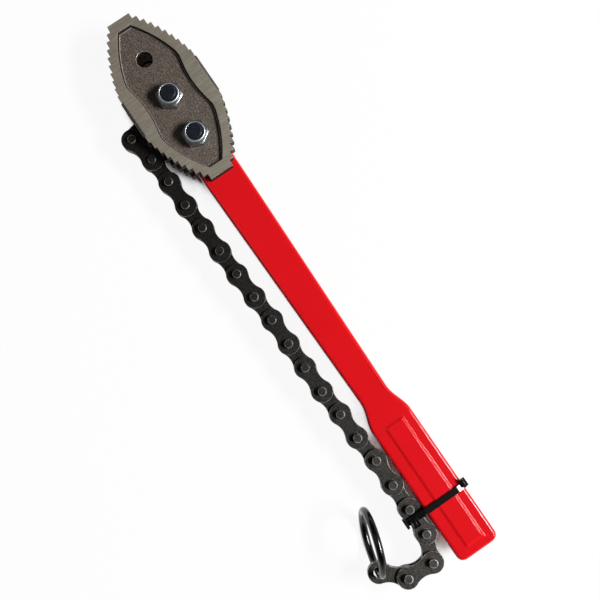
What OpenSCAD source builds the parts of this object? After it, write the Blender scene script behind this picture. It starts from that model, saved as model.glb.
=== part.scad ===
// Chain pipe wrench: two toothed jaw plates on a flat handle, with a chain, an end ring and a cable tie.
// Origin: middle of the open jaw hole. +X runs along the handle to its butt, +Z points to the nut side.

/* [Jaw plates] */
// Length of each jaw plate
jaw_len = 123; // [116:1:132]
// Width across the plain middle flats
jaw_w = 59.4; // [56:0.2:63]
// Thickness of each plate at its rim
jaw_t = 8; // [6.5:0.5:10]
// Width of the plain ends
jaw_end_w = 17; // [15:0.2:19]
// Length of the plain middle flats
jaw_flat = 27; // [22:1:32]
// Radius of the toothed edges
tooth_edge_r = 100; // [85:1:120]
// Tooth spacing along the toothed edges
tooth_pitch = 5.2; // [4:0.1:6.5]
// Width of the raised rim round the recess
rim_w = 7.3; // [6:0.1:8]
// Depth of the recess in the outer face
recess_d = 3.2; // [2:0.1:3.8]
// Width of the recess at its waist
recess_waist = 36; // [33:0.5:38]
// Radius of the recess's inward bow at the waist
waist_bow = 68; // [55:1:90]
// Bevel along the outer edge of the middle flats
flat_bevel = 1.8; // [0.5:0.1:2.5]
// Distance between neighbouring holes of a plate
hole_gap = 30.6; // [28:0.2:33]

/* [Bolts and nuts] */
// Bolt diameter
bolt_d = 10; // [8:0.5:10.5]
// Clearance round the bolts in the jaws and the handle
bolt_gap = 0.5; // [0.3:0.1:0.8]
// Hexagon width across flats
hex_w = 16; // [15:0.5:18]
// Width of the hexagon's flat face as a share of its width across flats
hex_face = 0.95; // [0.94:0.01:1]
// Slope of the hexagon's corner bevels, in degrees
hex_slope = 30; // [15:1:35]
// Height of the bolt heads
head_h = 6.4; // [5:0.2:8]
// Height of the nut's hexagon
nut_h = 7; // [6:0.2:9]
// Diameter of the nut's round collar
collar_d = 14; // [13.6:0.1:15]
// Height of the collar above the hexagon
collar_h = 3; // [2.6:0.1:4]
// Wall of the collar
collar_wall = 1.4; // [1:0.1:1.6]
// Bevel round the collar's top
collar_bevel = 0.8; // [0.4:0.1:1]
// Height of the nylon ring in the collar
insert_h = 2.2; // [1.6:0.1:2.4]
// Bolt end past the nut
bolt_proud = 1.4; // [0.6:0.1:3]
// Bevel at the bolt's end
bolt_bevel = 0.8; // [0.4:0.1:1]
// Thread clearance between bolt and nut
thread_gap = 0.05; // [0.02:0.01:0.1]
// How far each nut is turned
nut_turn = [56, 2]; // [0:1:60]

/* [Handle] */
// Thickness, which is also the gap between the jaw plates
handle_t = 14; // [13:0.5:17]
// Width of the tongue and of the shank at the jaws
shank_w = 27; // [24:0.5:30]
// Width of the shank where the shoulder starts
neck_w = 20.8; // [19:0.2:23]
// Width of the grip
grip_w = 30.2; // [28:0.2:34]
// Pivot bolt to the start of the shoulder
shank_len = 237.5; // [225:0.5:252]
// Length of the shoulder
shoulder_len = 20.5; // [16:0.5:28]
// Length of the grip
grip_len = 101; // [98:1:120]
// Rounding of the long edges
edge_r = 2.4; // [2:0.2:3.2]
// Corner radius of the butt in plan
butt_r = 5; // [4:0.5:8]
// Length of the raised grip panel
panel_len = 93.5; // [70:0.5:95]
// Width of the raised grip panel
panel_w = 14.8; // [10:0.2:18]
// Height of the raised grip panel
panel_h = 0.8; // [0.4:0.1:1.2]
// Bevel round the raised grip panel
panel_bevel = 1.5; // [0.8:0.1:1.8]
// Panel's distance from the butt
panel_inset = 6.5; // [5:0.5:8]

/* [Chain] */
// Distance from pin to pin
pitch = 19.05; // [18:0.05:20]
// End radius of a link plate
plate_r = 7.4; // [7:0.1:7.8]
// Width of a link plate at its waist
plate_waist = 10; // [9:0.2:11]
// Thickness of one link plate
plate_t = 2; // [1.6:0.1:2.3]
// Gap between neighbouring link plates
plate_gap = 0.1; // [0.06:0.02:0.14]
// Pin diameter
pin_d = 5.9; // [5:0.1:6.4]
// Radial running clearance of a pin or bolt in a link
pin_play = 0.05; // [0.03:0.01:0.08]
// How far the pins stand out past the outer plates
pin_proud = 3.7; // [2:0.1:4.5]
// Gap between the first pins' ends and the jaw plates
pin_end_gap = 0.5; // [0.4:0.1:0.8]
// Bevel on the pin ends
pin_bevel = 0.5; // [0.3:0.1:0.8]
// Pivot bolt to the first pin
anchor_len = 37.4; // [36:0.2:40]
// Radius of the anchor link's eye on the pivot bolt
eye_r = 9.5; // [8.5:0.1:10.5]
// Gap on each side of the anchor link in the tongue's slot
slot_gap = 0.3; // [0.2:0.1:0.5]
// Gap between the chain and the grip's edge
grip_gap = 0.4; // [0.3:0.1:1]

/* [Ring] */
// Outside diameter of the end ring
ring_d = 47; // [44:1:54]
// Wire diameter of the ring
wire_d = 5; // [4:0.2:5.6]
// Radial room for the wire in the last link's hole
wire_room = 1; // [0.8:0.1:1.1]
// How far the ring leans from upright, in degrees
ring_lean = 6; // [0:1:8]

/* [Cable tie] */
// Width of the strap
tie_w = 4.8; // [3.6:0.1:5]
// Thickness of the strap
tie_t = 1.2; // [1:0.1:1.6]
// Gap between the strap and what it goes round
tie_gap = 0.15; // [0.1:0.05:0.3]
// Gap between the strap's ends and the part on the chain
tie_cut = 0.3; // [0.2:0.1:0.5]
// Pin to the middle of the strap
tie_from_pin = 6.6; // [6:0.1:7.4]
// Locking head on the chain: along the chain, across it and in height
tie_head = [5.4, 5.2, 4.2]; // [4:0.1:6]
// Middle of the strap to the middle of the head on the chain, along the chain
tie_head_ahead = 2.5; // [2:0.1:3.2]
// How far the middle of the head on the chain lies outside the line of pins
tie_head_out = 2; // [0:0.1:2.2]
// Side of the window in the head on the chain
tie_window = 3; // [2.4:0.1:3.4]
// Locking head on the grip's edge: along the grip, across the strap and in height
edge_head = [5.8, 3.2, 2.6]; // [2:0.1:7]
// How far the head on the grip's edge is turned up from level, in degrees
edge_head_turn = 55; // [40:1:75]
// Middle of the strap to the middle of the head on the grip's edge, towards the jaws
edge_head_back = 1.8; // [0:0.1:2.2]

/* [Hidden] */
$fn = 64;
cut = 1;

// Counts of links from the anchor link to the ring: the lead, the run, along the grip, and the tail
lead_count = 1;
run_count = 13;
grip_count = 3;
tail_count = 3;
run_first = 1 + lead_count;
grip_first = run_first + run_count;
tail_first = grip_first + grip_count;
links = tail_first + tail_count - 1;
pairs = links / 2;

// How the chain lies, in degrees from the handle's direction
anchor_heading = -78.5;
lead_heading = 11;
sway = [0, -1, 0, 0, 0, 1, 1, -2, -2, -1, 2, -1, 3];
tail_heading = [-21, -93, -134];
ring_heading = 160;

function two_digits(i) = i < 10 ? str("0", i) : str(i);
function outer_name(i) = str("outer_link_", two_digits(i));
function pins_name(i) = str("link_pins_", two_digits(i));
function inner_name(i) = str("inner_link_", two_digits(i));

// Levels above the middle plane
inner_z = handle_t / 2;
floor_z = inner_z + jaw_t - recess_d;
head_bottom = -floor_z - head_h;
nut_top = floor_z + nut_h + collar_h;
hole_d = bolt_d + 2 * bolt_gap;
insert_d = collar_d - 2 * collar_wall;
insert_z = floor_z + nut_h + (collar_h - insert_h) / 2;

// Places along the handle, from the pivot bolt
shoulder_x = shank_len;
grip_x = shoulder_x + shoulder_len;
butt_x = grip_x + grip_len;

// Centre of the arc that the tooth tips lie on, in the quarter towards +X and +Y
end_pt = [jaw_len / 2, jaw_end_w / 2];
flat_pt = [jaw_flat / 2, jaw_w / 2];
tip_chord = flat_pt - end_pt;
tip_half = norm(tip_chord) / 2;
tip_in = [-tip_chord.y, tip_chord.x] / (2 * tip_half);
edge_c = (end_pt + flat_pt) / 2 + tip_in * sqrt(tooth_edge_r ^ 2 - tip_half ^ 2);
end_angle = angle_of(end_pt - edge_c);
flat_angle = angle_of(flat_pt - edge_c);
teeth = round(tooth_edge_r * (flat_angle - end_angle) * PI / 180 / tooth_pitch);

function angle_of(v) = atan2(v.y, v.x);
function heading_vec(a) = [cos(a), sin(a)];
function tip(i) = edge_c + tooth_edge_r * heading_vec(end_angle + (flat_angle - end_angle) * i / teeth);

// Stair steps from a plain end to a middle flat, with edges along and across the plate
function stair() = concat(
  [for (i = [0 : teeth - 1]) each [tip(i), [tip(i + 1).x, tip(i).y]]],
  [tip(teeth)]
);
function flipped(pts) = [for (i = [len(pts) - 1 : -1 : 0]) pts[i]];
function scaled(pts, sx, sy) = [for (p = pts) [sx * p.x, sy * p.y]];
function end_to_end(q) = concat(q, flipped(scaled(q, -1, 1)));
function all_round(half) = concat(half, flipped(scaled(half, 1, -1)));

// Half width of the recess: the rim's inner arc, drawn in by the bow at the waist
recess_end = jaw_len / 2 - rim_w;
recess_steps = 44;
corner_blend = 0.8;
function soft_min(a, b) = -corner_blend * ln(exp(-a / corner_blend) + exp(-b / corner_blend));
function rim_y(x) = edge_c.y + sqrt((tooth_edge_r - rim_w) ^ 2 - (abs(x) - edge_c.x) ^ 2);
function bow_y(x) = recess_waist / 2 + x ^ 2 / (2 * waist_bow);
function recess_edge() = [
  for (i = [0 : recess_steps])
    let (x = recess_end * (1 - 2 * i / recess_steps)) [x, soft_min(rim_y(x), bow_y(x))]
];

// Link plate: two round ends and a waist arc that is tangent to both
waist_half = plate_waist / 2;
waist_arc = ((pitch / 2) ^ 2 + waist_half ^ 2 - plate_r ^ 2) / (2 * (plate_r - waist_half));
neck_x = plate_r * pitch / 2 / (plate_r + waist_arc);
neck_y = plate_r * (waist_half + waist_arc) / (plate_r + waist_arc);
inner_plate_z = plate_gap / 2;
outer_plate_z = inner_plate_z + plate_t + plate_gap;
chain_half_t = outer_plate_z + plate_t;
short_pin = handle_t - 2 * pin_end_gap;
long_pin = 2 * (chain_half_t + pin_proud);
running_d = pin_d + 2 * pin_play;
wire_hole_d = wire_d + 2 * wire_room;

// Chain layout: the run goes straight from the lead link to the grip's edge, and then along the grip
grip_y = -(grip_w / 2 + plate_r + grip_gap);
lead_y = anchor_len * sin(anchor_heading) + pitch * sin(lead_heading);
run_heading = asin((grip_y - lead_y) / (run_count * pitch));
function heading(i) =
  i == 0 ? anchor_heading
  : i < run_first ? lead_heading
  : i < grip_first ? run_heading + sway[i - run_first]
  : i < tail_first ? 0
  : tail_heading[i - tail_first];
function link_len(i) = i == 0 ? anchor_len : pitch;
function pin_at(i) = i == 0 ? [hole_gap, 0] : pin_at(i - 1) + link_len(i - 1) * heading_vec(heading(i - 1));

// Ring: it leans on the surface that the bolt heads lie on, and its wire passes the last hole
ring_r = (ring_d - wire_d) / 2;
ring_z = ring_r + (head_bottom + wire_d / 2) / cos(ring_lean);
ring_reach = sqrt(ring_r ^ 2 - ring_z ^ 2);

// Cable tie: round the grip, and over the outer link next to it
tie_link = tail_first - 1;
tie_x = pin_at(tie_link).x + tie_from_pin;
tie_z = inner_z + panel_h + tie_gap;
tie_side = grip_w / 2 + tie_gap;
tie_end = grip_w / 2 + tie_cut;
chain_side = neck_y + tie_gap - pin_at(tie_link).y;
chain_top = chain_half_t + tie_gap;

// Rounded bar section across X, at a place along the handle, as a loop of points
edge_steps = 6;
corner_signs = [[1, 1], [-1, 1], [-1, -1], [1, -1]];
function bar_loop(x, w, t, r) = [
  for (c = [0 : 3]) for (k = [0 : edge_steps])
    let (a = 90 * (c + k / edge_steps), s = corner_signs[c])
      [x, s.x * (w - r) + r * cos(a), s.y * (t - r) + r * sin(a)]
];
function smooth(s) = s * s * (3 - 2 * s);
function blend(a, b, s) = a + (b - a) * s;

// Handle stations: place, half width and half thickness
shoulder_steps = 10;
butt_steps = 8;
butt_edge = butt_x - edge_r;
function half_t(x) =
  x < butt_edge ? inner_z : inner_z - edge_r + sqrt(max(0, edge_r ^ 2 - (x - butt_edge) ^ 2));
stations = concat(
  [[0, shank_w / 2, inner_z], [jaw_len / 2, shank_w / 2, inner_z]],
  [
    for (i = [0 : shoulder_steps])
      let (s = i / shoulder_steps)
        [shoulder_x + s * shoulder_len, blend(neck_w, grip_w, smooth(s)) / 2, inner_z]
  ],
  [
    for (i = [0 : butt_steps])
      let (a = 90 * i / butt_steps, x = butt_x - butt_r + butt_r * sin(a))
        [x, grip_w / 2 - butt_r * (1 - cos(a)), half_t(x)]
  ]
);

// Shared shapes

module at_pivot(x = 0) {
  translate([hole_gap + x, 0, 0]) children();
}

module loft(loops) {
  n = len(loops[0]);
  last = len(loops) - 1;
  polyhedron(
    points = [for (loop = loops) each loop],
    faces = concat(
      [[for (k = [0 : n - 1]) k]],
      [[for (k = [n - 1 : -1 : 0]) last * n + k]],
      [
        for (i = [0 : last - 1]) for (k = [0 : n - 1])
          let (k2 = (k + 1) % n) [i * n + k, (i + 1) * n + k, (i + 1) * n + k2, i * n + k2]
      ]
    )
  );
}

module hexagon(h) {
  corner = hex_w / sqrt(3);
  face_r = hex_face * hex_w / 2;
  wide = corner + cut;
  drop = (wide - face_r) * tan(hex_slope);
  intersection() {
    cylinder(r = corner, h = h, $fn = 6);
    rotate_extrude()
      polygon([[0, 0], [wide, 0], [wide, h - drop], [face_r, h], [0, h]]);
  }
}

module jaw_plate() {
  difference() {
    linear_extrude(jaw_t) polygon(all_round(end_to_end(stair())));
    translate([0, 0, jaw_t - recess_d])
      linear_extrude(recess_d + cut) polygon(all_round(recess_edge()));
    for (x = [-hole_gap, 0, hole_gap])
      translate([x, 0, -cut]) cylinder(d = hole_d, h = jaw_t + 2 * cut);
    for (s = [-1, 1])
      translate([0, s * jaw_w / 2, jaw_t])
        rotate([45, 0, 0]) cube([jaw_flat, flat_bevel * sqrt(2), flat_bevel * sqrt(2)], center = true);
  }
}

// Round bar along Z, with a bevel at its upper end
module bevelled_bar(d, low, high, bevel) {
  r = d / 2;
  rotate_extrude()
    polygon([[0, low], [r, low], [r, high - bevel], [r - bevel, high], [0, high]]);
}

module bolt() {
  translate([0, 0, head_bottom + head_h]) mirror([0, 0, 1]) hexagon(head_h);
  bevelled_bar(bolt_d, -floor_z, nut_top + bolt_proud, bolt_bevel);
}

module nut(turn) {
  translate([0, 0, floor_z])
    difference() {
      union() {
        rotate([0, 0, turn]) hexagon(nut_h);
        bevelled_bar(collar_d, 0, nut_h + collar_h, collar_bevel);
      }
      translate([0, 0, -cut]) cylinder(d = bolt_d + 2 * thread_gap, h = nut_h + collar_h + 2 * cut);
      translate([0, 0, insert_z - floor_z]) cylinder(d = insert_d, h = collar_h + cut);
    }
}

module insert() {
  translate([0, 0, insert_z])
    difference() {
      cylinder(d = insert_d, h = insert_h);
      translate([0, 0, -cut]) cylinder(d = bolt_d + 2 * thread_gap, h = insert_h + 2 * cut);
    }
}

module link_shape(near_d, far_d) {
  difference() {
    union() {
      circle(plate_r);
      translate([pitch, 0]) circle(plate_r);
      difference() {
        translate([neck_x, -neck_y]) square([pitch - 2 * neck_x, 2 * neck_y]);
        for (s = [-1, 1])
          translate([pitch / 2, s * (waist_half + waist_arc)]) circle(waist_arc);
      }
    }
    circle(d = near_d);
    translate([pitch, 0]) circle(d = far_d);
  }
}

module on_link(i) {
  translate(pin_at(i)) rotate([0, 0, heading(i)]) children();
}

module plate_pair(z) {
  for (side = [z, -z - plate_t])
    translate([0, 0, side]) linear_extrude(plate_t) children();
}

module pin(length) {
  r = pin_d / 2;
  end = length / 2;
  upper = [[r, end - pin_bevel], [r - pin_bevel, end], [0, end]];
  rotate_extrude() polygon(concat(flipped(scaled(upper, 1, -1)), upper));
}

// Sub-parts

module handle() {
  color("red")
    at_pivot()
      difference() {
        union() {
          cylinder(d = shank_w, h = handle_t, center = true);
          loft([for (s = stations) bar_loop(s.x, s.y, s.z, edge_r)]);
          for (side = [0, 1]) mirror([0, 0, side]) grip_panel();
        }
        for (x = [0, hole_gap])
          translate([x, 0, -handle_t]) cylinder(d = hole_d, h = 2 * handle_t);
        tongue_slot();
      }
}

module grip_panel() {
  base = [panel_len, panel_w];
  top = [panel_len - 2 * panel_bevel, panel_w - 2 * panel_bevel];
  translate([butt_x - panel_inset - panel_len / 2, 0, inner_z])
    hull() {
      translate([0, 0, -cut]) linear_extrude(cut) square(base, center = true);
      linear_extrude(panel_h) square(top, center = true);
    }
}

module tongue_slot() {
  slot_h = 2 * (inner_plate_z + plate_t + slot_gap);
  translate([-shank_w / 2 - cut, -shank_w / 2 - cut, -slot_h / 2])
    cube([shank_w / 2 + cut + eye_r + pin_d / 2, shank_w + 2 * cut, slot_h]);
}

module front_jaw() {
  color("darkgray") at_pivot() translate([0, 0, inner_z]) jaw_plate();
}

module back_jaw() {
  color("darkgray") at_pivot() translate([0, 0, -inner_z]) mirror([0, 0, 1]) jaw_plate();
}

module pivot_bolt() {
  color("slategray") at_pivot() bolt();
}

module jaw_bolt() {
  color("slategray") at_pivot(hole_gap) bolt();
}

module pivot_nut() {
  color("silver") at_pivot() nut(nut_turn[0]);
}

module jaw_nut() {
  color("silver") at_pivot(hole_gap) nut(nut_turn[1]);
}

module nut_inserts() {
  color("midnightblue") for (x = [0, hole_gap]) at_pivot(x) insert();
}

module anchor_link() {
  color("dimgray")
    on_link(0)
      plate_pair(inner_plate_z)
        difference() {
          union() {
            circle(eye_r);
            translate([0, -plate_r]) square([anchor_len, 2 * plate_r]);
            translate([anchor_len, 0]) circle(plate_r);
          }
          circle(d = bolt_d + 2 * pin_play);
          translate([anchor_len, 0]) circle(d = running_d);
        }
}

module outer_link(i) {
  color("dimgray") on_link(2 * i - 1) plate_pair(outer_plate_z) link_shape(pin_d, pin_d);
}

// The first pins are short, because they swing in between the jaw plates
module link_pins(i) {
  length = i == 1 ? short_pin : long_pin;
  color("gray") for (k = [2 * i - 1, 2 * i]) translate(pin_at(k)) pin(length);
}

module inner_link(i) {
  far_d = i == pairs ? wire_hole_d : running_d;
  color("dimgray") on_link(2 * i) plate_pair(inner_plate_z) link_shape(running_d, far_d);
}

module end_ring() {
  color("gainsboro")
    translate(pin_at(links + 1))
      rotate([ring_lean, 0, ring_heading])
        translate([ring_reach, 0, ring_z])
          rotate([90, 0, 0])
            rotate_extrude() translate([ring_r, 0]) circle(d = wire_d, $fn = 32);
}

module round_rect(low, high, r) {
  translate([low.x + r, low.y]) square([high.x - low.x - 2 * r, high.y - low.y]);
  translate([low.x, low.y + r]) square([high.x - low.x, high.y - low.y - 2 * r]);
  for (x = [low.x + r, high.x - r], y = [low.y + r, high.y - r]) translate([x, y]) circle(r);
}

// The strap's section lies across the handle, and is drawn out along X
module across_tie(w) {
  translate([tie_x - w / 2, 0, 0]) rotate([90, 0, 90]) linear_extrude(w) children();
}

module tie_strap() {
  over = grip_w;
  bend_r = edge_r + tie_t;
  color("black") {
    across_tie(tie_w)
      difference() {
        round_rect([-over, -tie_z - tie_t], [tie_side + tie_t, tie_z + tie_t], bend_r);
        round_rect([-over - cut, -tie_z], [tie_side, tie_z], edge_r);
        translate([-over - cut, -grip_w]) square([over + cut - tie_end, 2 * grip_w]);
      }
    translate([-edge_head_back, 0, 0])
      across_tie(edge_head.x)
        translate([tie_side - edge_r, tie_z - edge_r])
          rotate(edge_head_turn)
            translate([bend_r - tie_t / 2, -edge_head.y / 2])
              square([edge_head.z + tie_t / 2, edge_head.y]);
  }
}

module tie_head() {
  start = tie_end + tie_cut;
  upper_in = [[-start, tie_z], [-chain_side, chain_top]];
  upper_out = [[-start, tie_z + tie_t], [-chain_side - tie_t, chain_top + tie_t]];
  inside = concat(upper_in, flipped(scaled(upper_in, 1, -1)));
  outside = concat(upper_out, flipped(scaled(upper_out, 1, -1)));
  color("black") {
    across_tie(tie_w) polygon(concat(inside, flipped(outside)));
    translate([tie_x + tie_head_ahead, pin_at(tie_link).y - tie_head_out, chain_top])
      linear_extrude(tie_head.z)
        difference() {
          square([tie_head.x, tie_head.y], center = true);
          square(tie_window, center = true);
        }
  }
}

handle();
front_jaw();
back_jaw();
pivot_bolt();
jaw_bolt();
pivot_nut();
jaw_nut();
nut_inserts();
anchor_link();
for (i = [1 : pairs]) outer_link(i);
for (i = [1 : pairs]) link_pins(i);
for (i = [1 : pairs]) inner_link(i);
end_ring();
tie_strap();
tie_head();
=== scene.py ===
"""Looks of the chain pipe wrench: edges, materials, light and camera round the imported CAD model."""

import math

import bmesh
import bpy
from mathutils import Matrix, Vector


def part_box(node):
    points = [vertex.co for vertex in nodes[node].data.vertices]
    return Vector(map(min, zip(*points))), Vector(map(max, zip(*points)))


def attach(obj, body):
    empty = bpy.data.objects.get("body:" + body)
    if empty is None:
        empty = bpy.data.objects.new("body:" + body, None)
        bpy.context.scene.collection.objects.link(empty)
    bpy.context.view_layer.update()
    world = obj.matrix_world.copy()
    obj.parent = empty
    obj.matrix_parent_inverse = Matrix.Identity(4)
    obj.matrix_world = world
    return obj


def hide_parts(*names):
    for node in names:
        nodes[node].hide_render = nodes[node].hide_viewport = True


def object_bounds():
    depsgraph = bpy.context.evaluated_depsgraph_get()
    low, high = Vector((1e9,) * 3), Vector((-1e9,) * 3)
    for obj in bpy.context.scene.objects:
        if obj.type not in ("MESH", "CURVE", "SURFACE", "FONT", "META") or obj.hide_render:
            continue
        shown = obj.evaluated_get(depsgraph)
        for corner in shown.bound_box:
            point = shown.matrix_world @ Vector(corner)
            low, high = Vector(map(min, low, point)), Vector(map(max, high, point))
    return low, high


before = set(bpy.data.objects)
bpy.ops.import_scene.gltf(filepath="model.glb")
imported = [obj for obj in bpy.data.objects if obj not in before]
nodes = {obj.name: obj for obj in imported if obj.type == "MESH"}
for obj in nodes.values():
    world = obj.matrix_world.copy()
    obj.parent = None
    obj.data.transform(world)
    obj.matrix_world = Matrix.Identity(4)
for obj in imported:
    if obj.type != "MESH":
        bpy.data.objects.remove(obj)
cad_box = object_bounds()

MM = 0.001

# Camera: it stands almost straight above the wrench, near enough to show perspective
PHOTO_PX = 600
FOCAL_PX = 901.3
SENSOR_MM = 36
CAMERA_AZIMUTH = math.radians(39.57)
CAMERA_ELEVATION = math.radians(85.80)
CAMERA_ROLL = math.radians(16.09)
CAMERA_DIST = 0.5994
CAMERA_AIM = Vector((0.18914, -0.00441, 0))

# Light: a key lamp from the picture's right and a weak fill from the left
KEY_ELEVATION = math.radians(48)
KEY_DIST = 2.0
KEY_SIZE = (0.9, 0.338)
KEY_WATTS = 50.0
FILL_ELEVATION = math.radians(60)
FILL_DIST = 1.4
FILL_SIZE = (0.9, 0.9)
FILL_WATTS = 0.7

# Room: its light overhead and at the horizon, how fast it falls between them, and the far side's share of it
ROOM_COLOUR = (1, 1, 1, 1)
ROOM_ZENITH = 0.02
ROOM_HORIZON = 1.2
ROOM_FALL = 4
ROOM_FAR = 0.1
ROOM_FOCUS = 2
ROOM_TURN = math.radians(35)

# Floor: it glows where the sky above it is open, and in the strip between chain and grip the glow is cut
# further, a painted shade there
FLOOR_SIZE = 6
FLOOR_COLOUR = (0.92, 0.92, 0.92, 1)
FLOOR_GLOW = 0.93
FLOOR_REACH = 18 * MM
FLOOR_DARK = 0.42
FLOOR_LIT = 0.62
GAP_PAINTED_SHADE = 0.2
GAP_X = (285 * MM, 310 * MM)
GAP_Y = -18 * MM
GAP_HALF = (7 * MM, 4 * MM)

# Rounding of the edges
EDGE_ANGLE = math.radians(20)
EDGE_SEGMENTS = 3
NORMAL_WEIGHT = 80
WELD_DIST = 0.002 * MM
SHARP_ANGLE = math.radians(30)
FLAT_ANGLE = math.radians(0.5)
JAW_EDGE = 0.4 * MM
NUT_EDGE = 0.3 * MM
PLATE_EDGE = 0.4 * MM
PIN_EDGE = 0.2 * MM
TIE_EDGE = 0.25 * MM

# The jaws' recess, as in the part's source, and the lean of its forged walls
JAW_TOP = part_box("front_jaw")[1].z
RECESS_DEPTH = 3.2 * MM
RECESS_FLOOR = JAW_TOP - RECESS_DEPTH
RECESS_DRAFT = 0.9 * MM
SAME = 0.01 * MM

# The handle's outline as in the part's source, measured from the pivot bolt
PIVOT_X = 30.6 * MM
HANDLE_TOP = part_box("handle")[1]
BUTT_X = HANDLE_TOP.x - PIVOT_X
GRIP_HALF = HANDLE_TOP.y
SHANK_HALF = 13.5 * MM
NECK_HALF = 10.4 * MM
TAPER_START = 61.5 * MM
SHOULDER_START = 237.5 * MM
SHOULDER_LEN = 20.5 * MM
BAR_EDGE_R = 2.4 * MM
BUTT_R = 5 * MM
PANEL_H = 0.8 * MM
HALF_T = HANDLE_TOP.z - PANEL_H

# The raised panel's rounded bevel: its middle line, its slope, and the radius at its top and foot
PANEL_HALF_W = 6.65 * MM
PANEL_GAP = 7.25 * MM
PANEL_LEN = 92 * MM
PANEL_END = BUTT_X - PANEL_GAP
PANEL_START = PANEL_END - PANEL_LEN
PANEL_SHIFT = 0.5 * MM
PANEL_SLOPE = math.radians(23.5)
PANEL_R = 0.8 * MM
PANEL_STEPS = 5
BEND_W = PANEL_R * math.sin(PANEL_SLOPE)
BEND_H = PANEL_R * (1 - math.cos(PANEL_SLOPE))
BEVEL_W = 2 * BEND_W + (PANEL_H - 2 * BEND_H) / math.tan(PANEL_SLOPE)

# The rolled lips of the lock nuts, round the nylon
NUT_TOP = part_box("pivot_nut")[1].z
NUT_PLACES = {"pivot_nut": PIVOT_X, "jaw_nut": 2 * PIVOT_X}
LIP_R = 6.2 * MM
LIP_TUBE = 0.65 * MM
LIP_DROP = 0.55 * MM
LIP_SIDES = 64
LIP_ROUND = 14

# The cable tie, as in the part's source: its place, its width and the middle of its thickness
TIE_X = 348.82 * MM
TIE_HALF_W = 2.1 * MM
TIE_HALF_T = 0.6 * MM
TIE_CORNER = 0.25 * MM
TIE_TOP = 8.55 * MM
TIE_SIDE = 15.85 * MM
TIE_END = 15.6 * MM
TIE_SPLIT = 15.7 * MM
TIE_OVER = (30.25 * MM, 4.9 * MM)
TIE_SLOPE_FROM = 10.0 * MM
TIE_SLOPE = math.radians(16.5)
TIE_BEND_R = 2.6 * MM
TIE_SOFT_R = 3 * MM
TIE_FOLD_R = 0.75 * MM
BEND_STEPS = 6
CORNER_STEPS = 3

# The tie's locking heads: their sizes and places, their walls, and the pawl's bar in their windows
HEAD_SIZE = (5.4 * MM, 5.2 * MM, 4.2 * MM)
HEAD_PLACE = (351.32 * MM, -24.9 * MM, 6.4 * MM)
EDGE_HEAD_SIZE = (5.8 * MM, 3.2 * MM, 2.6 * MM)
EDGE_HEAD_PLACE = (347.02 * MM, 15.6 * MM, 9.5 * MM)
EDGE_HEAD_TURN = math.radians(-35)
FOLD_SIZE = (7.2 * MM, 1.9 * MM, 3.4 * MM)
FOLD_PLACE = (348.7 * MM, -30.2 * MM, 4.3 * MM)
HEAD_WALL = 0.85 * MM
HEAD_SINK = 1.1 * MM
PAWL_SHARE = 0.3
PAWL_H = 1.5 * HEAD_SINK
PAWL_DROP = 0.9 * HEAD_SINK

# Between the jaws the drawn handle takes over from the tongue of the CAD handle
TONGUE_END = 52 * MM
DRAWN_START = 54 * MM
ARC_STEPS = 8
SHANK_STEPS = 8
SHOULDER_STEPS = 14
BUTT_STEPS = 14

# Colours of the materials, each pair from dark to light
PAINT = ((0.70, 0.006, 0.010, 1), (0.77, 0.009, 0.014, 1))
GROUND = ((0.25, 0.22, 0.177, 1), (0.398, 0.354, 0.288, 1))
GROUND_STAIN = (0.245, 0.205, 0.15, 1)
GROUND_SPECK = (0.17, 0.145, 0.115, 1)
FORGED = ((0.035, 0.026, 0.020, 1), (0.28, 0.232, 0.188, 1))
FORGED_STAIN = (0.098, 0.068, 0.055, 1)
FORGED_FLECK = (0.31, 0.27, 0.23, 1)
FORGED_WALL = (0.030, 0.026, 0.022, 1)
# Worn metal at the holes and the recess's foot, lightened as a painted highlight
FORGED_WORN_HIGHLIT = (0.50, 0.48, 0.44, 1)
ZINC = ((0.30, 0.335, 0.35, 1), (0.42, 0.455, 0.47, 1))
# Painted sheen: the lip's zinc is lighter than the nut's, for the bright ring of reflected light round the
# nylon
LIP_SHEEN = ((0.58, 0.62, 0.64, 1), (0.72, 0.75, 0.77, 1))
BOLT = ((0.010, 0.013, 0.022, 1), (0.028, 0.033, 0.048, 1))
INSERT = ((0.006, 0.008, 0.016, 1), (0.016, 0.02, 0.034, 1))
PLATE = ((0.020, 0.018, 0.016, 1), (0.058, 0.053, 0.048, 1))
PLATE_WORN = (0.50, 0.48, 0.45, 1)
PIN = ((0.022, 0.021, 0.020, 1), (0.062, 0.058, 0.055, 1))
PIN_WORN = (0.42, 0.40, 0.38, 1)
RING = ((0.04, 0.042, 0.042, 1), (0.10, 0.104, 0.104, 1))
RING_SPOT = (0.045, 0.04, 0.036, 1)
TIE = ((0.002, 0.002, 0.002, 1), (0.006, 0.006, 0.006, 1))

# Roughness, where it varies over a material
PAINT_ROUGH = (0.20, 0.24)
FORGED_ROUGH = 0.62
GROUND_ROUGH = 0.58
WORN_GLOSS = 0.22
ZINC_ROUGH = (0.29, 0.35)
LIP_SHEEN_ROUGH = (0.42, 0.48)
OXIDE_ROUGH = (0.36, 0.5)
RING_ROUGH = (0.14, 0.28)

# Noise in the materials: its spots for each metre, with its levels of finer detail
PAINT_CLOUD = (25, 1)
PAINT_WAVES = (120, 1)
PAINT_PEEL = (700, 1)
PAINT_HAZE = (260, 2)
GRIND_LINES = (2100, 2)
GRIND_STRETCH = (1, 0.04, 0.04)
GRIND_STAIN = (120, 3)
GRIND_SPECK = (1500, 3)
FORGE_GRAIN = (1100, 3)
FORGE_STAIN = (170, 4)
FORGE_FLECK = (620, 3)
ZINC_CLOUD = (260, 3)
ZINC_HAZE = (300, 2)
BOLT_CLOUD = (700, 3)
INSERT_CLOUD = (900, 2)
OXIDE_GRAIN = (1300, 4)
OXIDE_STAIN = (140, 3)
OXIDE_WEAR = (420, 3)
RING_CLOUD = (90, 3)
RING_FINE = (900, 3)
TIE_CLOUD = (400, 2)

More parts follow.
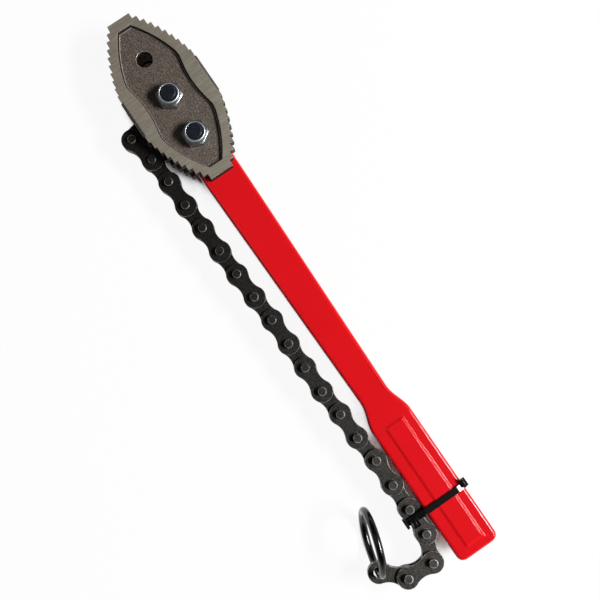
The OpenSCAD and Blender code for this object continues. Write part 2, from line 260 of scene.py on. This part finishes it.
# The noise at which a mark starts and is full, and the shares of it that show there
SPREAD = (0.3, 0.7)
GRIND_STAIN_SHOWS = (0.35, 0.75, 0.0, 0.4)
GRIND_SPECK_SHOWS = (0.56, 0.7, 0.0, 0.5)
FORGE_GRAIN_SHOWS = (0.34, 0.66)
FORGE_STAIN_SHOWS = (0.42, 0.66, 0.0, 0.5)
FORGE_FLECK_SHOWS = (0.60, 0.72, 0.0, 0.4)
OXIDE_GRAIN_SHOWS = (0.32, 0.68)
OXIDE_STAIN_SHOWS = (0.4, 0.75, 0.0, 0.5)
OXIDE_WEAR_SHOWS = (0.38, 0.6, 0.25, 1.0)
RING_CLOUD_SHOWS = (0.35, 0.7)
RING_SPOT_SHOWS = (0.5, 0.75, 0.0, 0.6)

# How far a face looks along Z, 0 for upright and 1 for flat, where a finish starts and where it is full
GROUND_FACING = (0.6, 0.9)
WALL_FACING = (0.25, 0.95)
WORN_HIGHLIT_OFF_FLAT = (0.99, 0.9)
WORN_HIGHLIT_OFF_UPRIGHT = (0.15, 0.4)
EDGE_OFF_FLAT = (0.99, 0.85)
EDGE_OFF_UPRIGHT = (0.15, 0.5)

# Heights on the jaws where the grinding starts and is full, and the reach from the recess's floor of the
# worn band, lightened as a painted highlight
GROUND_HEIGHT = (JAW_TOP - 0.25 * MM, JAW_TOP - 0.05 * MM)
WORN_HIGHLIT_REACH = (0.9 * MM, 0.5 * MM)
WORN_HIGHLIT_SHARE = 0.9

# The chain's oxide has painted shade, darkest at the jaws where their shadow falls, and painted light
# towards the tail
PAINTED_SHADE_X = (20 * MM, 380 * MM)
PAINTED_SHADE_POWER = 2.0
PAINTED_SHADE_RANGE = (0.5, 1.8)

# Depths of the materials' bumps
WAVE_DEPTH = 0.003 * MM
PEEL_DEPTH = 0.001 * MM
PIT_DEPTH = 0.07 * MM
SCRATCH_DEPTH = 0.008 * MM
OXIDE_DEPTH = 0.05 * MM
FINE_DEPTH = 0.02 * MM
TIE_DEPTH = 0.01 * MM


def camera_axes():
    """The picture's right, up and towards-the-eye directions."""
    back = Vector((
        math.sin(CAMERA_AZIMUTH) * math.cos(CAMERA_ELEVATION),
        -math.cos(CAMERA_AZIMUTH) * math.cos(CAMERA_ELEVATION),
        math.sin(CAMERA_ELEVATION),
    ))
    level = Vector((math.cos(CAMERA_AZIMUTH), math.sin(CAMERA_AZIMUTH), 0))
    steep = back.cross(level)
    right = level * math.cos(CAMERA_ROLL) + steep * math.sin(CAMERA_ROLL)
    up = steep * math.cos(CAMERA_ROLL) - level * math.sin(CAMERA_ROLL)
    return right, up, back


def link_object(name, data):
    obj = bpy.data.objects.new(name, data)
    bpy.context.scene.collection.objects.link(obj)
    return obj


def pose_matrix(right, up, back, place):
    turn = Matrix((right, up, back)).transposed()
    return Matrix.Translation(place) @ turn.to_4x4()


def add_camera():
    data = bpy.data.cameras.new("camera")
    data.sensor_width = SENSOR_MM
    data.lens = FOCAL_PX / PHOTO_PX * SENSOR_MM
    camera = link_object("camera", data)
    right, up, back = camera_axes()
    camera.matrix_world = pose_matrix(right, up, back, CAMERA_AIM + CAMERA_DIST * back)
    bpy.context.scene.camera = camera


def add_lamp(name, side, elevation, dist, size, watts):
    """A flat lamp on the picture's right (side 1) or left (side -1), aimed at the wrench."""
    data = bpy.data.lights.new(name, "AREA")
    data.shape = "RECTANGLE"
    data.size, data.size_y = size
    data.energy = watts
    lamp = link_object(name, data)
    right = camera_axes()[0]
    level = Vector((right.x, right.y, 0)).normalized() * side
    towards = level * math.cos(elevation) + Vector((0, 0, math.sin(elevation)))
    across = Vector((0, 0, 1)).cross(towards).normalized()
    lamp.matrix_world = pose_matrix(across, towards.cross(across), towards, CAMERA_AIM + dist * towards)


class Nodes:
    """A node tree that is being made. Its calls return node sockets."""

    def __init__(self, tree):
        self.tree = tree

    def put(self, socket, value):
        if isinstance(value, bpy.types.NodeSocket):
            self.tree.links.new(value, socket)
        else:
            socket.default_value = value

    def add(self, kind, inputs, **settings):
        node = self.tree.nodes.new("ShaderNode" + kind)
        for key, value in settings.items():
            setattr(node, key, value)
        for key, value in inputs.items():
            self.put(node.inputs[key], value)
        return node

    def axis(self, vector, axis):
        return self.add("SeparateXYZ", {"Vector": vector}).outputs[axis]

    def math(self, operation, a, b=0.0):
        return self.add("Math", {0: a, 1: b}, operation=operation).outputs[0]

    def ramp(self, value, start, end, low=0.0, high=1.0):
        inputs = {"Value": value, "From Min": start, "From Max": end, "To Min": low, "To Max": high}
        return self.add("MapRange", inputs).outputs["Result"]


class Shader(Nodes):
    """A node material that is being made."""

    def __init__(self, name):
        self.material = bpy.data.materials.new(name)
        self.material.use_nodes = True
        super().__init__(self.material.node_tree)
        self.bsdf = self.tree.nodes["Principled BSDF"]

    def place(self):
        """Place on the piece, which moves with it."""
        return self.add("TexCoord", {}).outputs["Object"]

    def facing(self):
        """How far a face looks along Z, either way: 1 for flat faces and 0 for upright ones."""
        normal = self.add("TexCoord", {}).outputs["Normal"]
        return self.math("ABSOLUTE", self.axis(normal, "Z"))

    def noise(self, per_metre, detail, stretch=(1, 1, 1)):
        spot = self.add("Mapping", {"Vector": self.place(), "Scale": stretch}).outputs["Vector"]
        inputs = {"Vector": spot, "Scale": per_metre, "Detail": detail}
        return self.add("TexNoise", inputs).outputs["Fac"]

    def mix(self, factor, a, b):
        inputs = {"Factor": factor, 6: a, 7: b}
        return self.add("Mix", inputs, data_type="RGBA").outputs[2]

    def bump(self, height, depth, normal=None):
        inputs = {"Height": height, "Strength": 1.0, "Distance": depth}
        if normal is not None:
            inputs["Normal"] = normal
        return self.add("Bump", inputs).outputs["Normal"]

    def finish(self, **values):
        for key, value in values.items():
            self.put(self.bsdf.inputs[key.replace("_", " ")], value)
        return self.material


def handle_paint():
    s = Shader("handle_paint")
    colour = s.mix(s.noise(*PAINT_CLOUD), *PAINT)
    waves = s.bump(s.noise(*PAINT_WAVES), WAVE_DEPTH)
    peel = s.bump(s.noise(*PAINT_PEEL), PEEL_DEPTH, waves)
    rough = s.ramp(s.noise(*PAINT_HAZE), *SPREAD, *PAINT_ROUGH)
    values = {"Base_Color": colour, "Roughness": rough, "Normal": peel, "Coat_Normal": peel}
    return s.finish(Coat_Weight=0.7, Coat_Roughness=0.03, Specular_IOR_Level=0.1, **values)


def jaw_steel():
    """Forged all over, ground flat on the rim, and worn bright at the holes and along the recess's foot,
    lightened there as a painted highlight.
    """
    s = Shader("jaw_steel")
    height = s.math("ABSOLUTE", s.axis(s.place(), "Z"))
    facing = s.facing()
    ground = s.math("MULTIPLY", s.ramp(height, *GROUND_HEIGHT), s.ramp(facing, *GROUND_FACING))
    off_floor = s.math("ABSOLUTE", s.math("SUBTRACT", height, RECESS_FLOOR))
    bend = s.math("MULTIPLY", s.ramp(facing, *WORN_HIGHLIT_OFF_FLAT), s.ramp(facing, *WORN_HIGHLIT_OFF_UPRIGHT))
    # Worn metal at the holes and the recess's foot, lightened all round as a painted highlight line
    worn = s.math("MULTIPLY", bend, s.ramp(off_floor, *WORN_HIGHLIT_REACH))

    lines = s.noise(*GRIND_LINES, GRIND_STRETCH)
    stain = s.ramp(s.noise(*GRIND_STAIN), *GRIND_STAIN_SHOWS)
    speck = s.ramp(s.noise(*GRIND_SPECK), *GRIND_SPECK_SHOWS)
    bright = s.mix(s.ramp(lines, *SPREAD), *GROUND)
    bright = s.mix(stain, bright, GROUND_STAIN)
    bright = s.mix(speck, bright, GROUND_SPECK)

    grain = s.noise(*FORGE_GRAIN)
    patch = s.ramp(s.noise(*FORGE_STAIN), *FORGE_STAIN_SHOWS)
    fleck = s.ramp(s.noise(*FORGE_FLECK), *FORGE_FLECK_SHOWS)
    dark = s.mix(s.ramp(grain, *FORGE_GRAIN_SHOWS), *FORGED)
    dark = s.mix(patch, dark, FORGED_STAIN)
    dark = s.mix(fleck, dark, FORGED_FLECK)
    wall = s.mix(s.ramp(facing, *WALL_FACING), FORGED_WALL, dark)
    forged = s.mix(s.math("MULTIPLY", worn, WORN_HIGHLIT_SHARE), wall, FORGED_WORN_HIGHLIT)

    colour = s.mix(ground, forged, bright)
    rough = s.ramp(ground, 0.0, 1.0, FORGED_ROUGH, GROUND_ROUGH)
    rough = s.math("SUBTRACT", rough, s.math("MULTIPLY", worn, WORN_GLOSS))
    pits = s.bump(s.math("MULTIPLY", grain, s.math("SUBTRACT", 1.0, ground)), PIT_DEPTH)
    scratches = s.bump(s.math("MULTIPLY", lines, ground), SCRATCH_DEPTH, pits)
    return s.finish(Base_Color=colour, Roughness=rough, Normal=scratches, Metallic=0.55)


def zinc_steel(name, colours, haze):
    s = Shader(name)
    colour = s.mix(s.ramp(s.noise(*ZINC_CLOUD), *SPREAD), *colours)
    rough = s.ramp(s.noise(*ZINC_HAZE), *SPREAD, *haze)
    return s.finish(Base_Color=colour, Roughness=rough, Metallic=1.0)


def bolt_steel():
    s = Shader("bolt_steel")
    cloud = s.noise(*BOLT_CLOUD)
    colour = s.mix(s.ramp(cloud, *SPREAD), *BOLT)
    return s.finish(Base_Color=colour, Roughness=0.4, Metallic=0.6, Normal=s.bump(cloud, FINE_DEPTH))


def insert_nylon():
    s = Shader("insert_nylon")
    cloud = s.noise(*INSERT_CLOUD)
    return s.finish(Base_Color=s.mix(cloud, *INSERT), Roughness=0.42, Normal=s.bump(cloud, FINE_DEPTH))


def oxide_steel(name, colours, bare):
    """Dark oxide that is worn to bare metal on the rounded edges, with painted shade at the jaws and painted
    light towards the tail.
    """
    s = Shader(name)
    grain = s.noise(*OXIDE_GRAIN)
    stain = s.ramp(s.noise(*OXIDE_STAIN), *OXIDE_STAIN_SHOWS)
    colour = s.mix(s.ramp(grain, *OXIDE_GRAIN_SHOWS), *colours)
    colour = s.mix(stain, colour, colours[0])
    facing = s.facing()
    edge = s.math("MULTIPLY", s.ramp(facing, *EDGE_OFF_UPRIGHT), s.ramp(facing, *EDGE_OFF_FLAT))
    edge = s.math("MULTIPLY", edge, s.ramp(s.noise(*OXIDE_WEAR), *OXIDE_WEAR_SHOWS))
    colour = s.mix(edge, colour, bare)
    # Painted shade and light: the whole colour is scaled darker near the jaws and lighter towards the tail
    painted_light_along = s.math("POWER", s.ramp(s.axis(s.place(), "X"), *PAINTED_SHADE_X), PAINTED_SHADE_POWER)
    shade = s.ramp(painted_light_along, 0.0, 1.0, *PAINTED_SHADE_RANGE)
    colour = s.add("VectorMath", {0: colour, "Scale": shade}, operation="SCALE").outputs["Vector"]
    rough = s.ramp(grain, *SPREAD, *OXIDE_ROUGH)
    return s.finish(Base_Color=colour, Roughness=rough, Metallic=0.7, Normal=s.bump(grain, OXIDE_DEPTH))


def ring_steel():
    s = Shader("ring_steel")
    fine = s.noise(*RING_FINE)
    colour = s.mix(s.ramp(s.noise(*RING_CLOUD), *RING_CLOUD_SHOWS), *RING)
    colour = s.mix(s.ramp(fine, *RING_SPOT_SHOWS), colour, RING_SPOT)
    rough = s.ramp(fine, *SPREAD, *RING_ROUGH)
    return s.finish(Base_Color=colour, Roughness=rough, Metallic=1.0, Normal=s.bump(fine, FINE_DEPTH))


def tie_nylon():
    s = Shader("tie_nylon")
    cloud = s.noise(*TIE_CLOUD)
    values = {"Base_Color": s.mix(cloud, *TIE), "Normal": s.bump(cloud, TIE_DEPTH)}
    return s.finish(Roughness=0.2, Specular_IOR_Level=0.8, **values)


def soft_step(s):
    s = min(max(s, 0), 1)
    return s * s * (3 - 2 * s)


def rounded(past, r):
    """How far a rounded end has dropped, at a distance past the start of its rounding."""
    past = min(max(past, 0), r)
    return r - math.sqrt(r * r - past * past)


def handle_half_width(x):
    if x < SHOULDER_START:
        taper = max(0, x - TAPER_START) / (SHOULDER_START - TAPER_START)
        return SHANK_HALF + (NECK_HALF - SHANK_HALF) * taper
    swell = soft_step((x - SHOULDER_START) / SHOULDER_LEN)
    return NECK_HALF + (GRIP_HALF - NECK_HALF) * swell - rounded(x - BUTT_X + BUTT_R, BUTT_R)


def bevel_places():
    """Distances in from the foot of the panel's bevel, close together where it bends."""
    bend = [PANEL_R * math.sin(PANEL_SLOPE * k / PANEL_STEPS) for k in range(PANEL_STEPS + 1)]
    return bend + [BEVEL_W - d for d in reversed(bend)]


def panel_rise(x, y):
    inside = min(PANEL_HALF_W - abs(y), x - PANEL_START, PANEL_END - x) + BEVEL_W / 2
    inside = min(max(inside, 0), BEVEL_W)
    if inside < BEND_W:
        return rounded(inside, PANEL_R)
    if inside > BEVEL_W - BEND_W:
        return PANEL_H - rounded(BEVEL_W - inside, PANEL_R)
    return BEND_H + (inside - BEND_W) * math.tan(PANEL_SLOPE)


def handle_section(x):
    """Outline of the handle across X, from the right side over the top to the left, and back below."""
    half_w = handle_half_width(x)
    half_t = HALF_T - rounded(x - BUTT_X + BAR_EDGE_R, BAR_EDGE_R)
    arc = []
    for k in range(ARC_STEPS + 1):
        turn = math.pi / 2 * k / ARC_STEPS
        out = half_w - BAR_EDGE_R + BAR_EDGE_R * math.cos(turn)
        arc.append((out, half_t - BAR_EDGE_R + BAR_EDGE_R * math.sin(turn)))
    panel = []
    for inside in bevel_places():
        y = PANEL_HALF_W + BEVEL_W / 2 - inside
        panel.append((y, half_t + panel_rise(x, y)))
    upper = arc + [(PANEL_SHIFT + y, z) for y, z in panel] + [(PANEL_SHIFT, half_t + panel_rise(x, 0))]
    upper += [(PANEL_SHIFT - y, z) for y, z in reversed(panel)] + [(-y, z) for y, z in reversed(arc)]
    return upper + [(y, -z) for y, z in reversed(upper)]


def handle_stations():
    """Places along the handle at which its outline is drawn, measured from the pivot bolt."""
    def steps(start, end, count):
        return [start + (end - start) * k / count for k in range(count + 1)]

    half = BEVEL_W / 2
    places = steps(TAPER_START, SHOULDER_START, SHANK_STEPS)
    places += steps(SHOULDER_START, SHOULDER_START + SHOULDER_LEN, SHOULDER_STEPS)[1:]
    places += [PANEL_START - half + inside for inside in bevel_places()]
    places += steps(PANEL_START + half, PANEL_END - half, SHANK_STEPS)[1:-1]
    places += [PANEL_END + half - inside for inside in reversed(bevel_places())]
    turns = steps(0, math.pi / 2, BUTT_STEPS)
    return [DRAWN_START] + places + [BUTT_X - BUTT_R * (1 - math.sin(turn)) for turn in turns]


def piece_of(name, shape, body):
    """Makes a smooth piece of a bmesh shape, which rides on a body."""
    bmesh.ops.recalc_face_normals(shape, faces=shape.faces)
    mesh = bpy.data.meshes.new(name)
    shape.to_mesh(mesh)
    shape.free()
    mesh.shade_smooth()
    mesh.set_sharp_from_angle(angle=SHARP_ANGLE)
    obj = link_object(name, mesh)
    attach(obj, body)
    return obj


def join_rings(shape, rings):
    """Faces from each ring of points to the next."""
    for near, far in zip(rings, rings[1:]):
        for k in range(len(near)):
            shape.faces.new((near[k - 1], far[k - 1], far[k], near[k]))


def forged_handle():
    """The CAD handle's tongue, with a smooth shank, grip and panels drawn on from there to the butt."""
    shape = bmesh.new()
    shape.from_mesh(nodes["handle"].data)
    bmesh.ops.remove_doubles(shape, verts=shape.verts, dist=WELD_DIST)
    parts = list(shape.verts) + list(shape.edges) + list(shape.faces)
    plane = {"plane_co": (PIVOT_X + TONGUE_END, 0, 0), "plane_no": (1, 0, 0)}
    found = bmesh.ops.bisect_plane(shape, geom=parts, dist=WELD_DIST, clear_outer=True, **plane)
    rim = [item for item in found["geom_cut"] if isinstance(item, bmesh.types.BMEdge)]
    loops = []
    for x in handle_stations():
        loops.append([shape.verts.new((PIVOT_X + x, y, z)) for y, z in handle_section(x)])
    join_rings(shape, loops)
    shape.faces.new(loops[-1])
    start = [shape.edges.get((loops[0][k - 1], loops[0][k])) for k in range(len(loops[0]))]
    bmesh.ops.bridge_loops(shape, edges=rim + start)
    obj = piece_of("handle_forged", shape, "wrench")
    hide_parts("handle")
    return obj


def forged_jaw(node):
    """A copy of a CAD jaw whose recess walls lean, as a forging's do. It stands for the node."""
    shape = bmesh.new()
    shape.from_mesh(nodes[node].data)
    bmesh.ops.remove_doubles(shape, verts=shape.verts, dist=WELD_DIST)
    bmesh.ops.dissolve_limit(shape, angle_limit=FLAT_ANGLE, verts=shape.verts, edges=shape.edges)
    shape.normal_update()
    lean = {}
    for face in shape.faces:
        heights = [abs(v.co.z) for v in face.verts]
        if abs(min(heights) - RECESS_FLOOR) < SAME and abs(max(heights) - JAW_TOP) < SAME:
            for v in face.verts:
                if abs(v.co.z) < RECESS_FLOOR + SAME:
                    lean[v] = lean.get(v, Vector()) + face.normal
    for v, way in lean.items():
        v.co += way.normalized() * RECESS_DRAFT
    obj = piece_of(node + "_forged", shape, "wrench")
    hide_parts(node)
    return obj


def nut_lip(node, x):
    """The rolled lip on a lock nut's collar, which holds the nylon in."""
    shape = bmesh.new()
    rings = []
    for k in range(LIP_SIDES):
        turn = 2 * math.pi * k / LIP_SIDES
        ring = []
        for j in range(LIP_ROUND):
            roll = 2 * math.pi * j / LIP_ROUND
            out = LIP_R + LIP_TUBE * math.cos(roll)
            level = NUT_TOP - LIP_DROP + LIP_TUBE * math.sin(roll)
            ring.append(shape.verts.new((x + out * math.cos(turn), out * math.sin(turn), level)))
        rings.append(ring)
    join_rings(shape, rings + rings[:1])
    return piece_of(node + "_lip", shape, "wrench")


def bent_path(corners):
    """Points along straight runs joined by arcs. Each corner is a point and its radius."""
    path = [corners[0][0]]
    for (before, _), (corner, r), (after, _) in zip(corners, corners[1:], corners[2:]):
        enter = (corner - before).normalized()
        leave = (after - corner).normalized()
        turn = enter.angle_signed(leave)
        reach = r * math.tan(abs(turn) / 2)
        side = Vector((-enter.y, enter.x)) * (-1 if turn > 0 else 1)
        first = corner - enter * reach
        middle = first + side * r
        for k in range(BEND_STEPS + 1):
            path.append(middle + Matrix.Rotation(-turn * k / BEND_STEPS, 2) @ (first - middle))
    path.append(corners[-1][0])
    return path


def add_ribbon(shape, path):
    """A strap with rounded edges along a path across the handle."""
    section = []
    for across, up in ((1, 1), (-1, 1), (-1, -1), (1, -1)):
        start = math.atan2(up, across) - math.pi / 4
        for k in range(CORNER_STEPS + 1):
            turn = start + math.pi / 2 * k / CORNER_STEPS
            wide = across * (TIE_HALF_W - TIE_CORNER) + TIE_CORNER * math.cos(turn)
            section.append((wide, up * (TIE_HALF_T - TIE_CORNER) + TIE_CORNER * math.sin(turn)))
    rings = []
    for k, point in enumerate(path):
        along = (path[min(k + 1, len(path) - 1)] - path[max(k - 1, 0)]).normalized()
        out = Vector((-along.y, along.x))
        ring = []
        for wide, thick in section:
            spot = point + out * thick
            ring.append(shape.verts.new((TIE_X + wide, spot.x, spot.y)))
        rings.append(ring)
    join_rings(shape, rings)
    shape.faces.new(rings[0])
    shape.faces.new(rings[-1])


def add_block(shape, size, at):
    """A plain block. The call returns its faces."""
    made = bmesh.ops.create_cube(shape, size=1, matrix=at @ Matrix.Diagonal((*size, 1)))
    return {face for vert in made["verts"] for face in vert.link_faces}


def add_head(shape, size, place, turn=0.0):
    """A tie's locking head: a block with a sunk window, and the pawl's bar across the window."""
    at = Matrix.Translation(place) @ Matrix.Rotation(turn, 4, "X")
    faces = add_block(shape, size, at)
    shape.normal_update()
    up = at.to_3x3() @ Vector((0, 0, 1))
    top = max(faces, key=lambda face: face.normal.dot(up))
    bmesh.ops.inset_region(shape, faces=[top], thickness=HEAD_WALL)
    bmesh.ops.translate(shape, verts=top.verts, vec=-HEAD_SINK * up)
    bar = (size[0] - 2 * HEAD_WALL, PAWL_SHARE * size[1], PAWL_H)
    add_block(shape, bar, at @ Matrix.Translation((0, 0, size[2] / 2 - PAWL_DROP)))


def tie_strap():
    """The strap round the grip, with a locking head on the grip's far edge."""
    drop = (TIE_SIDE - TIE_SLOPE_FROM) * math.tan(TIE_SLOPE)
    upper = [
        (Vector((-TIE_END, TIE_TOP)), 0),
        (Vector((TIE_SLOPE_FROM, TIE_TOP)), TIE_SOFT_R),
        (Vector((TIE_SIDE, TIE_TOP - drop)), TIE_BEND_R),
    ]
    lower = [(Vector((point.x, -point.y)), r) for point, r in reversed(upper)]
    shape = bmesh.new()
    add_ribbon(shape, bent_path(upper + lower))
    add_head(shape, EDGE_HEAD_SIZE, EDGE_HEAD_PLACE, EDGE_HEAD_TURN)
    obj = piece_of("tie_strap_nylon", shape, "wrench")
    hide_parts("tie_strap")
    return obj


def tie_head():
    """The tie's part on the chain, with a locking head and the folded end."""
    over, level = TIE_OVER
    upper = [(Vector((-TIE_SPLIT, TIE_TOP)), 0), (Vector((-over, level)), TIE_FOLD_R)]
    lower = [(Vector((point.x, -point.y)), r) for point, r in reversed(upper)]
    shape = bmesh.new()
    add_ribbon(shape, bent_path(upper + lower))
    add_head(shape, HEAD_SIZE, HEAD_PLACE)
    add_block(shape, FOLD_SIZE, Matrix.Translation(FOLD_PLACE))
    obj = piece_of("tie_head_nylon", shape, "link_17")
    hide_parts("tie_head")
    return obj


def dress(obj, material, edge):
    """Gives a piece its material, and rounds its sharp edges by modifiers."""
    obj.data.materials.clear()
    obj.data.materials.append(material)
    weld = obj.modifiers.new("weld", "WELD")
    weld.merge_threshold = WELD_DIST
    if edge:
        flat = obj.modifiers.new("flat", "DECIMATE")
        flat.decimate_type = "DISSOLVE"
        flat.angle_limit = FLAT_ANGLE
        bevel = obj.modifiers.new("edges", "BEVEL")
        bevel.width = edge
        bevel.segments = EDGE_SEGMENTS
        bevel.limit_method = "ANGLE"
        bevel.angle_limit = EDGE_ANGLE
    normals = obj.modifiers.new("normals", "WEIGHTED_NORMAL")
    normals.weight = NORMAL_WEIGHT
    normals.keep_sharp = True


def dress_all():
    jaws = jaw_steel()
    zinc = zinc_steel("zinc_steel", ZINC, ZINC_ROUGH)
    # The lips' lighter zinc is a painted sheen
    rolled = zinc_steel("lip_sheen_zinc", LIP_SHEEN, LIP_SHEEN_ROUGH)
    bolts = bolt_steel()
    plates = oxide_steel("chain_steel", PLATE, PLATE_WORN)
    pins = oxide_steel("pin_steel", PIN, PIN_WORN)
    tie = tie_nylon()
    dress(forged_handle(), handle_paint(), 0)
    for node in ("front_jaw", "back_jaw"):
        dress(forged_jaw(node), jaws, JAW_EDGE)
    for node, x in NUT_PLACES.items():
        dress(nodes[node], zinc, NUT_EDGE)
        dress(nut_lip(node, x), rolled, 0)
    for node in ("pivot_bolt", "jaw_bolt"):
        dress(nodes[node], bolts, PIN_EDGE)
    dress(nodes["nut_inserts"], insert_nylon(), PIN_EDGE)
    dress(nodes["end_ring"], ring_steel(), 0)
    dress(tie_strap(), tie, TIE_EDGE)
    dress(tie_head(), tie, TIE_EDGE)
    for node in sorted(nodes):
        if node.startswith("link_pins"):
            dress(nodes[node], pins, PIN_EDGE)
        elif "link" in node:
            dress(nodes[node], plates, PLATE_EDGE)


def floor_white():
    """White to the eye and in reflections, with real shading left for the shadow and in narrow gaps, and a
    painted shade in the strip between chain and grip.
    """
    s = Shader("floor_white")
    s.tree.nodes.remove(s.bsdf)
    path = s.add("LightPath", {}).outputs
    seen = path["Is Camera Ray"]
    for ray in ("Is Glossy Ray", "Is Transmission Ray"):
        seen = s.math("MAXIMUM", seen, path[ray])
    open_sky = s.add("AmbientOcclusion", {"Distance": FLOOR_REACH}).outputs["AO"]
    # Painted shade: the glow is cut further in a fixed strip between chain and grip
    along = s.ramp(s.axis(s.place(), "X"), *GAP_X)
    off = s.math("ABSOLUTE", s.math("SUBTRACT", s.axis(s.place(), "Y"), GAP_Y))
    gap_painted_shade = s.math("MULTIPLY", along, s.ramp(off, *GAP_HALF))
    open_sky = s.math("SUBTRACT", open_sky, s.math("MULTIPLY", gap_painted_shade, GAP_PAINTED_SHADE))
    share = s.math("MULTIPLY", seen, s.ramp(open_sky, FLOOR_DARK, FLOOR_LIT, 0.0, FLOOR_GLOW))
    shaded = s.add("BsdfDiffuse", {"Color": FLOOR_COLOUR}).outputs[0]
    glow = s.add("Emission", {}).outputs[0]
    mixed = s.add("MixShader", {0: share, 1: shaded, 2: glow}).outputs[0]
    s.put(s.tree.nodes["Material Output"].inputs["Surface"], mixed)
    return s.material


def add_floor():
    half = FLOOR_SIZE / 2
    level = cad_box[0][2]
    mesh = bpy.data.meshes.new("floor")
    corners = [(-half, -half, level), (half, -half, level), (half, half, level), (-half, half, level)]
    mesh.from_pydata(corners, [], [(0, 1, 2, 3)])
    mesh.materials.append(floor_white())
    link_object("floor", mesh)


def add_room():
    """A room that is pale low down on the key's side, with a dark ceiling and a darker far side."""
    world = bpy.data.worlds.new("room")
    world.use_nodes = True
    bpy.context.scene.world = world
    room = Nodes(world.node_tree)
    way = room.add("TexCoord", {}).outputs["Generated"]
    right, up, _ = camera_axes()
    level = right * math.cos(ROOM_TURN) - up * math.sin(ROOM_TURN)
    east = room.math("MULTIPLY", room.axis(way, "X"), level.x)
    north = room.math("MULTIPLY", room.axis(way, "Y"), level.y)
    near = room.math("POWER", room.ramp(room.math("ADD", east, north), -1, 1), ROOM_FOCUS)
    low = room.math("POWER", room.math("SUBTRACT", 1, room.axis(way, "Z")), ROOM_FALL)
    walls = room.math("MULTIPLY", low, room.ramp(near, 0, 1, ROOM_FAR * ROOM_HORIZON, ROOM_HORIZON))
    sky = room.tree.nodes["Background"].inputs
    room.put(sky["Strength"], room.math("ADD", walls, ROOM_ZENITH))
    room.put(sky["Color"], ROOM_COLOUR)


add_camera()
add_lamp("key", 1, KEY_ELEVATION, KEY_DIST, KEY_SIZE, KEY_WATTS)
add_lamp("fill", -1, FILL_ELEVATION, FILL_DIST, FILL_SIZE, FILL_WATTS)
add_floor()
add_room()
dress_all()
bpy.context.scene.view_settings.view_transform = "Standard"
